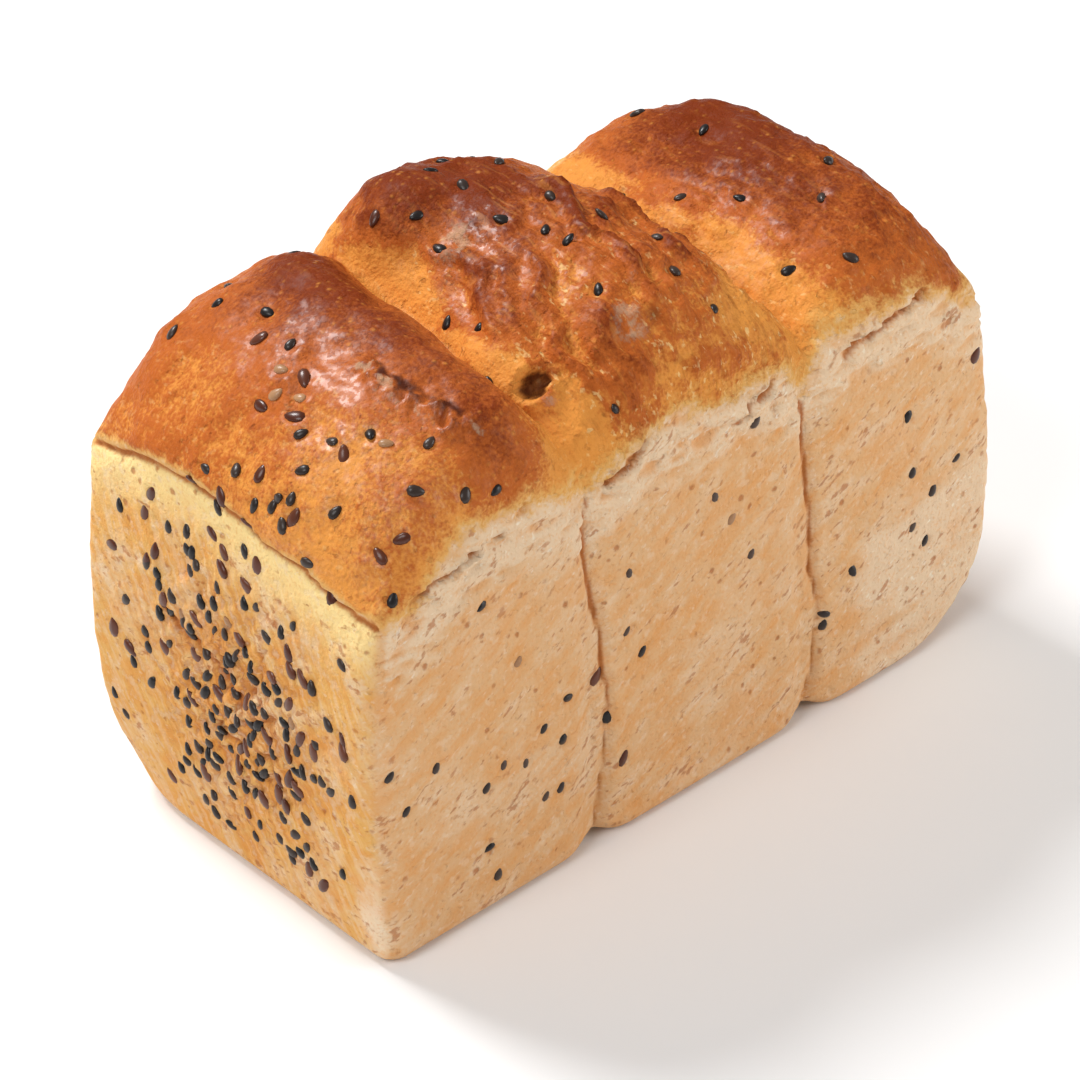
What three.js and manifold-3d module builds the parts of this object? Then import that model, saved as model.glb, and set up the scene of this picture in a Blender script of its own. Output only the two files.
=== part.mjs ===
// A seeded tin loaf: three balls of dough proved side by side in one tin and baked together.
// Millimetres, +Z up. The origin is under the middle of the loaf, on its flat base.
// +X runs along the loaf, away from the end face that carries most of the seeds.
import * as THREE from "three";
import { mergeVertices } from "three/addons/utils/BufferGeometryUtils.js";
import Module from "manifold-3d";

// The tin's print on the dough: straight sides up to the tin line, a little slack at the foot
const LENGTH = 171;
const WIDTH = 95;
const TIN_LINE = 88;
const FOOT_SPREAD = 2.5;
const FOOT_SHRINK = 0.4;
const END_BULGE = 3;
const SIDE_BULGE = 0.6;
const UPRIGHT_ROUND = 5;
const BASE_ROUND = 3.5;

// Base corners where the dough didn't fill the tin: [x side, y side, depth of the missing corner]
const SLACK_CORNERS = [[1, -1, 8], [1, 1, 7], [-1, 1, 7]];
const SLACK_BLEND = 9;

// The seams where the dough balls met
const SEAMS = [-29, 32];
const SEAM_DEPTH = 1.7;
const SEAM_DEPTH_AT_BASE = 3;
const SEAM_SPREAD = 4.3;
const SEAM_FLARE = 26;
const SEAM_NOTCH = 0.8;

// The three crowns that rose out of the tin. lean shifts a crown's top along the loaf, and an
// overlap over 1 carries its flank under its neighbour, which raises the valley between them.
const CROWNS = [
  { from: -LENGTH / 2, to: SEAMS[0], height: 34, lean: 11.5, overlap: [1, 1.12] },
  { from: SEAMS[0], to: SEAMS[1], height: 39, lean: 0, overlap: [1.25, 1.1] },
  { from: SEAMS[1], to: LENGTH / 2, height: 25.5, lean: 11, overlap: [1.12, 1] },
];
const ALONG_DOME = { power: 1.65, root: 2.2 };
const ACROSS_DOME = { power: 2.6, root: 3.3 };
const VALLEY_BLEND = 3;
const SHOULDER = { x: -20, y: 27, height: 11, reach: 16 };
const CORNER_DIP = { depth: 7, reach: 14 };

// The crust's facets, and the rays that place them
const CELLS = { along: 34, across: 16, up: 14 };
const CROWN_ROOM = 40;
const CORE = { halfLength: (LENGTH - WIDTH) / 2, low: 45, high: TIN_LINE - 17 };
const FAR_OUT = 150;
const HALVINGS = 32;

// Seeds: length, width and thickness, and how much of the thickness lies under the crust
const SEED_KINDS = {
  black_sesame: { size: [3.4, 2.1, 1.3], sunk: 0.4, colour: 0x1a1b1e, roughness: 0.35 },
  linseed: { size: [4.5, 2.5, 1.3], sunk: 0.4, colour: 0x54280f, roughness: 0.3 },
};
const SEED_TAPER = 0.35;
const SEED_SIDES = 8;
const SEED_RINGS = 4;
const SEED_TURN = 137.5;
const SEED_GAP = 0.3;

// Where the boldest seeds sit, in millimetres: x and y on the crowns, y and z on the seeded end,
// x and z on the front. Each seed is turned by SEED_TURN degrees from the one before it.
const SEEDS = [
  {
    kind: "black_sesame",
    face: "crown",
    places: [
      [-60, 31], [-58, 17], [-53, 36], [-62, 4], [-74, -13], [-72, -20], [-67, -26], [-60, -36],
      [-7, 24], [0, 29], [-7, 14], [7, 19], [-19, 15], [-8, 1], [4, -1], [-4, -8], [-3, -14],
      [8, -12], [-20, 7], [-8, -28], [-28, -5], [-27, -14], [14, -22], [10, -32],
      [62, 15], [44, 3], [50, -9], [61, -22], [72, -14], [43, -31], [54, -38],
    ],
  },
  {
    kind: "black_sesame",
    face: "end",
    places: [[6, 98], [-2, 101], [-10, 97], [-16, 101], [-27, 92], [-38, 74], [18, 79], [33, 54]],
  },
  {
    kind: "black_sesame",
    face: "front",
    places: [[-58, 78], [-37, 44], [-39, 34], [-85, 50], [-60, 17], [37, 27], [45, 35], [62, 67]],
  },
  {
    kind: "linseed",
    face: "crown",
    places: [[-64, 12], [-74, 0], [-66, -5], [-24, 22]],
  },
  {
    kind: "linseed",
    face: "end",
    places: [[24, 84], [37, 66], [4, 84], [-38, 56]],
  },
];

const CRUST_COLOUR = 0xc98a4c;
const CRUST_ROUGHNESS = 0.7;

const bell = (distance, reach) => Math.exp(-((distance / reach) ** 2));
const dome = (v, { power, root }) => Math.max(1 - Math.abs(v) ** power, 0) ** (1 / root);

function smoothMax(a, b, reach) {
  const share = THREE.MathUtils.clamp(0.5 + (0.5 * (a - b)) / reach, 0, 1);
  return b * (1 - share) + a * share + reach * share * (1 - share);
}

// How far one crown stands over the tin line at x
function crownRise(crown, x) {
  const top = (crown.from + crown.to) / 2 + crown.lean;
  const reach = x < top
    ? (top - crown.from) * crown.overlap[0]
    : (crown.to - top) * crown.overlap[1];
  return crown.height * dome((x - top) / reach, ALONG_DOME);
}

// How far the baked top stands over the tin line at x, y
function crownHeight(x, y) {
  const rises = CROWNS.map((crown) => crownRise(crown, x));
  const ridge = rises.reduce((a, b) => smoothMax(a, b, VALLEY_BLEND));
  const shoulder = SHOULDER.height * bell(Math.hypot(x - SHOULDER.x, y - SHOULDER.y), SHOULDER.reach);
  const toCorner = Math.hypot(Math.abs(x) - LENGTH / 2, Math.abs(y) - WIDTH / 2);
  const dip = CORNER_DIP.depth * bell(toCorner, CORNER_DIP.reach);
  return (ridge + shoulder) * dome(y / (WIDTH / 2), ACROSS_DOME) - dip;
}

// Below 0 inside a corner that is rounded by radius, where a and b are the depths past its two walls
function roundCorner(a, b, radius) {
  const p = a + radius;
  const q = b + radius;
  return Math.hypot(Math.max(p, 0), Math.max(q, 0)) + Math.min(Math.max(p, q), 0) - radius;
}

// Below 0 inside the loaf, above 0 outside
function outside(point) {
  const up = THREE.MathUtils.clamp(point.z / TIN_LINE, 0, 1);
  const x = point.x / (1 + ((2 * FOOT_SPREAD) / LENGTH) * (1 - up));
  const y = point.y / (1 - ((2 * FOOT_SHRINK) / WIDTH) * (1 - up));
  const swell = Math.sin(Math.PI * up);
  const flare = Math.max(1 - point.z / SEAM_FLARE, 0) ** 2;
  const seamDepth = SEAM_DEPTH + (SEAM_DEPTH_AT_BASE - SEAM_DEPTH) * flare;
  const seam = seamDepth * SEAMS.reduce((sum, at) => sum + bell(x - at, SEAM_SPREAD), 0);
  const pastEnd = Math.abs(x) - (LENGTH / 2 + END_BULGE * swell);
  const pastSide = Math.abs(y) - (WIDTH / 2 + SIDE_BULGE * swell - seam);
  const wall = roundCorner(pastEnd, pastSide, UPRIGHT_ROUND);
  let body = roundCorner(wall, seam * SEAM_NOTCH - point.z, BASE_ROUND);
  for (const [side, back, depth] of SLACK_CORNERS) {
    const pastCorner = side * x - LENGTH / 2 + back * y - WIDTH / 2 - point.z;
    body = smoothMax(body, pastCorner / Math.sqrt(3) + depth, SLACK_BLEND);
  }
  return Math.max(body, point.z - (TIN_LINE + crownHeight(point.x, point.y)));
}

// The crust's point on the ray from a point inside the loaf
function crustOnRay(from, direction) {
  let near = 0;
  let far = FAR_OUT;
  for (let i = 0; i < HALVINGS; i += 1) {
    const middle = (near + far) / 2;
    if (outside(from.clone().addScaledVector(direction, middle)) > 0) far = middle;
    else near = middle;
  }
  return from.clone().addScaledVector(direction, near);
}

function crustNormal(point) {
  const step = 0.5;
  const slope = (axis) => outside(point.clone().addScaledVector(axis, step))
    - outside(point.clone().addScaledVector(axis, -step));
  const axes = [new THREE.Vector3(1, 0, 0), new THREE.Vector3(0, 1, 0), new THREE.Vector3(0, 0, 1)];
  return new THREE.Vector3(...axes.map(slope)).normalize();
}

// A box's grid of facets, pushed out onto the crust
function loafGeometry() {
  const height = TIN_LINE + CROWN_ROOM;
  const box = new THREE.BoxGeometry(LENGTH, WIDTH, height, CELLS.along, CELLS.across, CELLS.up);
  box.deleteAttribute("normal");
  box.deleteAttribute("uv");
  const crust = mergeVertices(box);
  const position = crust.getAttribute("position");
  const clamp = THREE.MathUtils.clamp;
  for (let i = 0; i < position.count; i += 1) {
    const corner = new THREE.Vector3().fromBufferAttribute(position, i);
    corner.z += height / 2;
    const core = new THREE.Vector3(
      clamp(corner.x, -CORE.halfLength, CORE.halfLength),
      0,
      clamp(corner.z, CORE.low, CORE.high),
    );
    const place = crustOnRay(core, corner.sub(core).normalize());
    position.setXYZ(i, place.x, place.y, Math.abs(place.z) < 0.001 ? 0 : place.z);
  }
  return crust;
}

// One seed, pointed at +X and flat to the XY plane, with its skin grown by margin
function seedGeometry([length, width, thickness], margin) {
  const sphere = new THREE.SphereGeometry(0.5, SEED_SIDES, SEED_RINGS);
  sphere.rotateZ(-Math.PI / 2);
  sphere.deleteAttribute("normal");
  sphere.deleteAttribute("uv");
  const seed = mergeVertices(sphere);
  const position = seed.getAttribute("position");
  for (let i = 0; i < position.count; i += 1) {
    const x = position.getX(i);
    const taper = 1 - SEED_TAPER * x;
    position.setXYZ(
      i,
      x * (length + 2 * margin),
      position.getY(i) * taper * (width + 2 * margin),
      position.getZ(i) * (thickness + 2 * margin),
    );
  }
  return seed;
}

// Lies a seed's mesh on the crust at a point, turned by turn degrees about the crust's normal
function layOnCrust(mesh, point, turn, lift) {
  const normal = crustNormal(point);
  const upright = Math.abs(normal.z) < 0.7 ? new THREE.Vector3(0, 0, 1) : new THREE.Vector3(1, 0, 0);
  const ahead = upright.addScaledVector(normal, -upright.dot(normal)).normalize();
  ahead.applyAxisAngle(normal, THREE.MathUtils.degToRad(turn));
  const across = new THREE.Vector3().crossVectors(normal, ahead);
  mesh.quaternion.setFromRotationMatrix(new THREE.Matrix4().makeBasis(ahead, across, normal));
  mesh.position.copy(point).addScaledVector(normal, lift);
  mesh.updateMatrixWorld();
}

// The ray from inside the loaf that finds a seed's place on each face
const FACES = {
  crown: ([x, y]) => crustOnRay(new THREE.Vector3(x, y, CORE.high), new THREE.Vector3(0, 0, 1)),
  end: ([y, z]) => crustOnRay(new THREE.Vector3(-CORE.halfLength, y, z), new THREE.Vector3(-1, 0, 0)),
  front: ([x, z]) => crustOnRay(new THREE.Vector3(x, 0, z), new THREE.Vector3(0, -1, 0)),
};

const wasm = await Module();
wasm.setup();

function toSolid(geometry, matrix) {
  const placed = geometry.clone().applyMatrix4(matrix);
  return new wasm.Manifold(new wasm.Mesh({
    numProp: 3,
    vertProperties: new Float32Array(placed.getAttribute("position").array),
    triVerts: new Uint32Array(placed.index.array),
  }));
}

function toGeometry(solid) {
  const mesh = solid.getMesh();
  const geometry = new THREE.BufferGeometry();
  geometry.setAttribute("position", new THREE.BufferAttribute(mesh.vertProperties, 3));
  geometry.setIndex(new THREE.BufferAttribute(mesh.triVerts, 1));
  geometry.computeVertexNormals();
  return geometry;
}

function standard(color, roughness) {
  return new THREE.MeshStandardMaterial({ color, roughness, metalness: 0 });
}

const part = new THREE.Group();
const counts = {};
let crust = toSolid(loafGeometry(), new THREE.Matrix4());

// Each seed is pressed into the crust, in a dimple that leaves SEED_GAP of air round it
for (const { kind, face, places } of SEEDS) {
  const { size, sunk, colour, roughness } = SEED_KINDS[kind];
  const geometry = seedGeometry(size, 0);
  geometry.computeVertexNormals();
  const dimple = seedGeometry(size, SEED_GAP);
  const material = standard(colour, roughness);
  for (const place of places) {
    counts[kind] = (counts[kind] ?? 0) + 1;
    const seed = new THREE.Mesh(geometry, material);
    seed.name = `${kind}_${String(counts[kind]).padStart(2, "0")}`;
    layOnCrust(seed, FACES[face](place), counts[kind] * SEED_TURN, size[2] * (0.5 - sunk));
    crust = crust.subtract(toSolid(dimple, seed.matrixWorld));
    part.add(seed);
  }
}

const loaf = new THREE.Mesh(toGeometry(crust), standard(CRUST_COLOUR, CRUST_ROUGHNESS));
loaf.name = "loaf";
part.add(loaf);

export default part;
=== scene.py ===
"""A seeded tin loaf on a pale floor: three balls of dough baked side by side in one tin.

The script is laid out as an add-on. Run as a script, it registers its operators and calls them in
order: the crust, the seeds, the floor, the lights and the camera. Shapes are worked out in
millimetres, in the loaf's own frame, and become metres when a mesh is made.
"""

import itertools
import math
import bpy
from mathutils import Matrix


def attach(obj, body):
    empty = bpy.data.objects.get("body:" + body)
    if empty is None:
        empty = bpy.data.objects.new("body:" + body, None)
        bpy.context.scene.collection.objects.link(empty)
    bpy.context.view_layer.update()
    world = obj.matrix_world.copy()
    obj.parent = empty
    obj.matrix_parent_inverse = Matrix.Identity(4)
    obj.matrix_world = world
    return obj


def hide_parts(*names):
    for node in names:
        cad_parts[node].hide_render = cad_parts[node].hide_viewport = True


bl_info = {
    "name": "Seeded Tin Loaf",
    "version": (1, 0, 0),
    "blender": (4, 5, 0),
    "location": "3D View > Sidebar > Loaf",
    "description": "Bakes a seeded tin loaf with three crowns",
    "category": "Object",
}

from types import SimpleNamespace

import bpy
import numpy as np
from bpy.props import FloatProperty, FloatVectorProperty, IntProperty, PointerProperty
from mathutils import Matrix, Vector
from mathutils.bvhtree import BVHTree

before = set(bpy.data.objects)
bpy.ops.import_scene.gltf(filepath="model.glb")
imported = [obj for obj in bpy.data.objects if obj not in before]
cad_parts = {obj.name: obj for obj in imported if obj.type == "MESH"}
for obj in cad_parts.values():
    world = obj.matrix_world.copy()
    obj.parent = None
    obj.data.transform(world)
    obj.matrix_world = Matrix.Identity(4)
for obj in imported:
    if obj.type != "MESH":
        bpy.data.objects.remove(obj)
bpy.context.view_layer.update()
BODY = "root"
MM = 0.001

# Shapes are in millimetres: x runs along the loaf, y across it and z up. The three crowns: where
# each starts and ends, its height over the tin line, how far its top leans along the loaf, and
# how many times its own length each flank runs on for, under its neighbours.
SEAMS = (-29.0, 32.0)
CROWNS = (
    {"ends": (-85.5, SEAMS[0]), "height": 34.0, "lean": 11.5, "overlap": (1.0, 1.12)},
    {"ends": SEAMS, "height": 39.0, "lean": 0.0, "overlap": (1.25, 1.1)},
    {"ends": (SEAMS[1], 85.5), "height": 25.5, "lean": 11.0, "overlap": (1.12, 1.0)},
)
# Power and root of the crowns' curve along the loaf and across it, and how softly they meet
ALONG_DOME = (1.65, 2.2)
ACROSS_DOME = (2.6, 3.3)
VALLEY_BLEND = 3.0
# A shoulder of dough on the middle crown's far side, and how far the crowns sink at the corners
SHOULDER = {"at": (-20.0, 27.0), "height": 11.0, "reach": 16.0}
CORNER_DIP = {"depth": 7.0, "reach": 14.0}
# Bottom corners that the dough didn't fill: which end, which side, and how far short it fell
SLACK_CORNERS = ((1, -1, 8.0), (1, 1, 7.0), (-1, 1, 7.0))
SLACK_BLEND = 9.0
# The near valley bows towards the seeded end in front of the loaf's middle
BOWED_VALLEY = {"at": (-31.0, -25.0), "shift": 5.0, "reach": (14.0, 15.0)}
# The side seams: half their width, the height below which they deepen, and the notch they leave
# in the base, as a share of their depth
SEAM_SPREAD = 4.3
SEAM_FLARE = 26.0
SEAM_NOTCH = 0.8
# The inner line that rays to the crust start from ends this far below the tin line, and the
# lattice that is drawn onto the crust stands this far above it
CORE_DROP = 17.0
CROWN_ROOM = 40.0
# The browned crown starts above the tin line, and lower at the ends and over the seams
BROWNING = {"above": 10.0, "end_drop": 8.5, "end_reach": 26.0, "seam_drop": 7.0, "seam_reach": 6.0}

# Where the dark crease of each side seam wanders, as (height, x)
SEAM_CREASES = (
    ((0, -29), (18, -27.5), (34, -26), (54, -27), (74, -30), (92, -29)),
    ((0, 33), (24, 35.5), (42, 34), (66, 32.5), (88, 31)),
)
# The fold where the near crown's dough lapped over the seeded end, as (y, z)
END_FOLD = ((-49, 86.5), (-41, 86), (-32, 88), (-23, 90), (-13, 89.5), (-6, 92), (6, 94),
            (22, 93), (36, 89.5), (46, 86))
# A crack among the seeds of the end, as (y, z)
END_CRACK = ((18, 58), (11, 56), (2, 53), (-6, 48))
# The crowd of seeds on the end: its middle, how far its stain and its seeds spread from there,
# its edges, and the least room between two seeds, as (y, z)
END_CROWD = {"at": (-3, 45), "stain": (26, 32), "spread": (15.5, 19), "wide": 42, "high": (9, 82),
             "room": 2.3}
# The split ridge of dry skin on the near crown, the knob at its end, a small blister behind it,
# the bright floor of the near valley, and the darkest stretch of the near crown, browner at its
# top and painted shade on its flank away from the light, as (x, y)
BURST_RIDGE = ((-57, -13), (-58, -21), (-57, -26), (-55, -30), (-54, -35))
BURST_KNOB = (-51, -38)
LONE_BLISTER = (-51, 14)
BRIGHT_VALLEY = ((-27, 46), (-28, 18), (-29, 2), (-32, -18), (-31, -32), (-29, -48))
DARK_AND_SHADED_RIDGE = ((-44, 26), (-43, 8), (-46, -8), (-46, -24), (-48, -42))
# Where the ray up to the burst bubble in the near valley starts
HOLE_BELOW = (-29.5, -32.5, 70.0)
# Tears that opened along the front as the crowns rose, as (x, z)
FRONT_TEARS = (
    ((-80, 86.5), (-70, 89), (-60, 92.5), (-50, 95), (-42, 97.5)),
    ((-26, 89), (-19, 93), (-12, 97)),
    ((8, 90), (17, 91), (24, 94)),
    ((40, 89), (50, 92), (61, 96), (72, 96)),
)
# Ridges that the skin of the middle crown was drawn into, as (x, y)
CROWN_RIDGES = (
    ((-12, -8), (-14, -17), (-20, -30), (-23, -42)),
    ((-22, 14), (-19, 2), (-24, -12), (-27, -22)),
    ((6, 20), (8, 4), (2, -12), (4, -28), (0, -40)),
    ((20, 10), (22, -8), (17, -24), (18, -38)),
)
# Spots on the crowns, as a place (x, y), how far they reach along and across, and how strong
# they are: dry bubbles that fell in or, below 0, stood up, glossy skin, pale skin and dark skin
BUBBLES = (((-5, -38), 6.5, 1.8, 1.0), ((2, -31), 4.0, 0.9, 0.3), ((-15, 4), 6.5, -0.8, 1.0))
GLOSSY_SPOTS = (
    ((-61, -8), (14, 25), 1.0), ((-74, -31), (16, 19), 0.9), ((-42, -24), (8, 16), 0.35),
    ((-14, -3), (14, 19), 1.0), ((8, -30), (16, 14), 0.25), ((56, -14), (16, 21), 0.6),
)
# The first baked spot pales the near crown's skin where its highlight falls: paler skin and a painted
# highlight
BAKED_SPOTS = (
    ((-63, -10), (10, 22), -0.14), ((-74, -29), (15, 20), -0.27), ((-80, 18), (9, 15), -0.05),
    ((22, -38), (9, 11), -0.20), ((72, -42), (14, 14), 0.24), ((-3, 12), (10, 10), 0.24),
    ((56, 20), (15, 15), 0.24), ((56, -18), (9, 9), 0.24),
)
BLISTERS_PER_CROWN = (40, 110, 90)
# The fixed starting numbers of everything drawn at random
DRAWS = {"dough": 11, "blisters": 5, "seeds": 23}


# ---------------------------------------------------------------- settings


def length(name, description, default):
    """A size in metres, given here in millimetres."""
    return FloatProperty(name=name, description=description, default=default * MM, unit="LENGTH")


def lengths(name, description, defaults):
    """Three sizes in metres, given here in millimetres."""
    return FloatVectorProperty(name=name, description=description, subtype="XYZ_LENGTH",
                               default=[default * MM for default in defaults])


def count(name, description, default):
    return IntProperty(name=name, description=description, default=default, min=1)


def angle(name, description, degrees):
    return FloatProperty(name=name, description=description, default=math.radians(degrees),
                         subtype="ANGLE")


def colour(name, description, default):
    return FloatVectorProperty(name=name, description=description, default=default,
                               subtype="COLOR", min=0, max=1)


class LoafSizes(bpy.types.PropertyGroup):
    long: length("Length", "Length of the loaf at the tin line", 171)
    wide: length("Width", "Width of the loaf at the tin line", 95)
    tin_line: length("Tin line", "Height of the straight sides", 88)
    foot_spread: length("Foot spread", "How far each end runs out at the base", 2.5)
    foot_shrink: length("Foot shrink", "How far each long side draws in at the base", 0.4)
    end_bulge: length("End bulge", "Swelling of the ends at half height", 3)
    side_bulge: length("Side bulge", "Swelling of the long sides at half height", 0.6)
    upright_round: length("Upright rounding", "Radius of the upright edges", 5)
    base_round: length("Base rounding", "Radius round the foot", 3.5)
    seam_depth: length("Seam depth", "Depth of the side seams", 1.7)
    seam_foot: length("Seam depth at the base", "Depth of the side seams at the base", 3)
    cells_long: count("Cells along", "Crust cells along the loaf", 172)
    cells_wide: count("Cells across", "Crust cells across the loaf", 94)
    cells_high: count("Cells up", "Crust cells up the loaf", 124)


class CrustRelief(bpy.types.PropertyGroup):
    lumps: length("Lumps", "Height of the soft lumps on the crowns", 1.7)
    wrinkles: length("Wrinkles", "Height of the drawn wrinkles on the crowns", 1.5)
    side_waves: length("Side waves", "Height of the waves on the tin sides", 0.45)
    crumb: length("Crumb", "Height of the fine grain", 0.14)
    tears: length("Tears", "Depth of the tears below the crowns", 1.7)
    creases: length("Creases", "Depth of the seam and fold creases", 1.2)
    blisters: length("Blisters", "Height of the small blisters", 0.6)
    lip: length("Lip", "Height of the lip over the fold of the ends", 0.8)
    hole: length("Hole", "Depth of the burst bubble", 3.4)
    pits: length("Pits", "Depth of the pits among the seeds of the end", 1.3)
    dimples: length("Dimples", "Depth of the dimple under a seed", 0.3)


class CrustColours(bpy.types.PropertyGroup):
    tan: colour("Side tan", "The tin sides", (0.745, 0.45, 0.228))
    cream: colour("Torn cream", "Stretched dough below the crowns", (0.82, 0.62, 0.42))
    yellow: colour("End yellow", "The seeded end", (0.77, 0.43, 0.13))
    # Band is also the colour of the pale painted highlights on the crowns
    band: colour("Band", "Stretched dough below the fold of the end", (0.97, 0.74, 0.33))
    # Milk is also the colour of the painted highlights on the sides
    milk_and_glint: colour("Milk", "Glossy stretched strands", (0.88, 0.76, 0.60))
    # Skin is also the colour of the painted glints on the lit side of the burst ridge
    skin: colour("Skin", "Dry skin over bubbles", (0.55, 0.36, 0.23))
    gold: colour("Gold", "Valleys and the lower crown", (0.75, 0.295, 0.058))
    orange: colour("Orange", "Middle of the bake", (0.49, 0.120, 0.022))
    russet: colour("Russet", "Tops of the crowns", (0.195, 0.032, 0.007))
    # Scorch also paints shade: the cut on the burst ridge's shaded side and the inside of the hole
    scorch_and_shade: colour("Scorch", "Burst blisters and deep holes", (0.085, 0.018, 0.007))
    # Bran also paints the creases, and painted shade in the pits among the end's seeds
    bran: colour("Bran", "Flecks of bran", (0.43, 0.13, 0.032))


class SeedSettings(bpy.types.PropertyGroup):
    sesame: lengths("Sesame", "Length, width and thickness of a sesame seed", (3.4, 2.1, 1.3))
    linseed: lengths("Linseed", "Length, width and thickness of a linseed", (4.5, 2.4, 1.3))
    end_crowd: count("End seeds", "Seeds tried on the seeded end", 235)
    black: colour("Black", "Black sesame skin", (0.011, 0.009, 0.009))
    brown: colour("Brown", "Linseed skin", (0.075, 0.015, 0.004))
    pale: colour("Pale", "White sesame skin", (0.36, 0.19, 0.09))


class StageSettings(bpy.types.PropertyGroup):
    floor: colour("Floor", "Colour of the floor", (0.93, 0.93, 0.93))
    room_light: FloatProperty(name="Room light", description="Strength of the room's own light",
                              default=0.28)
    azimuth: angle("Azimuth", "Turn of the camera round the loaf", -40.2)
    elevation: angle("Elevation", "Height of the camera over the floor", 34.3)
    roll: angle("Roll", "Roll of the camera", -2.7)
    distance: length("Camera distance", "Distance from the camera to the aim point", 950)
    lens: FloatProperty(name="Lens", description="Focal length in millimetres", default=147.3)


# ---------------------------------------------------------------- shape of the loaf


def bell(distance, reach):
    return np.exp(-((distance / reach) ** 2))


def step(low, high, value):
    """0 up to low, 1 from high, and a soft slope between them."""
    t = np.clip((value - low) / (high - low), 0, 1)
    return t * t * (3 - 2 * t)


def dome(v, shape):
    power, root = shape
    return np.maximum(1 - np.abs(v) ** power, 0) ** (1 / root)


def smooth_max(a, b, reach):
    t = np.clip(0.5 + 0.5 * (a - b) / reach, 0, 1)
    return b * (1 - t) + a * t + reach * t * (1 - t)


def fade_ends(along, share):
    """1 along a line, fading to 0 over a share of it at each end."""
    return step(0, share, along) * (1 - step(1 - share, 1, along))


def spot(x, y, at, reach):
    """1 in the middle of an oval spot, fading out along x and y."""
    return bell(np.hypot((x - at[0]) / reach[0], (y - at[1]) / reach[1]), 1)


def round_corner(a, b, radius):
    """Below 0 inside a rounded corner, where a and b are the depths past its two walls."""
    a, b = a + radius, b + radius
    return np.hypot(np.maximum(a, 0), np.maximum(b, 0)) + np.minimum(np.maximum(a, b), 0) - radius


def to_line(points, line):
    """Distance from each point to a line of straight pieces, and how far along it that is, 0 to 1."""
    line = np.asarray(line, float)
    spans = np.linalg.norm(np.diff(line, axis=0), axis=1)
    starts = np.concatenate([[0], np.cumsum(spans)])
    best = np.full(len(points), np.inf)
    along = np.zeros(len(points))
    for a, b, size, start in zip(line[:-1], line[1:], spans, starts):
        t = np.clip((points - a) @ (b - a) / size**2, 0, 1)
        distance = np.linalg.norm(points - (a + t[:, None] * (b - a)), axis=1)
        nearer = distance < best
        best = np.where(nearer, distance, best)
        along = np.where(nearer, (start + t * size) / starts[-1], along)
    return best, along


class DoughNoise:
    """Smooth random hills in space, from -1 to 1, the same on every run."""

    def __init__(self, seed):
        draw = np.random.default_rng(seed)
        self.order = draw.permutation(256)
        slopes = draw.normal(size=(256, 3))
        self.slopes = slopes / np.linalg.norm(slopes, axis=1)[:, None]

    def __call__(self, points, scale=(1, 1, 1), offset=0.0):
        points = points / np.broadcast_to(scale, 3) + offset
        cell = np.floor(points).astype(int)
        part = points - cell
        fade = part**3 * (part * (part * 6 - 15) + 10)
        total = np.zeros(len(points))
        for corner in itertools.product((0, 1), repeat=3):
            x, y, z = ((cell + corner) & 255).T
            slope = self.slopes[self.order[(self.order[(self.order[x] + y) & 255] + z) & 255]]
            weight = np.prod(np.where(corner, fade, 1 - fade), axis=1)
            total += weight * np.sum(slope * (part - corner), axis=1)
        return total * 1.6

    def hills(self, points, scale, octaves=2, offset=0.0):
        total = 0
        for i in range(octaves):
            total = total + self(points, np.asarray(scale) / 2**i, offset + 7.3 * i) / 2**i
        return total

    def ridges(self, points, scale, offset=0.0):
        """Sharp crests between round hollows, from 0 to 1."""
        return 1 - np.minimum(np.abs(self(points, scale, offset)) * 2.2, 1)


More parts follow.
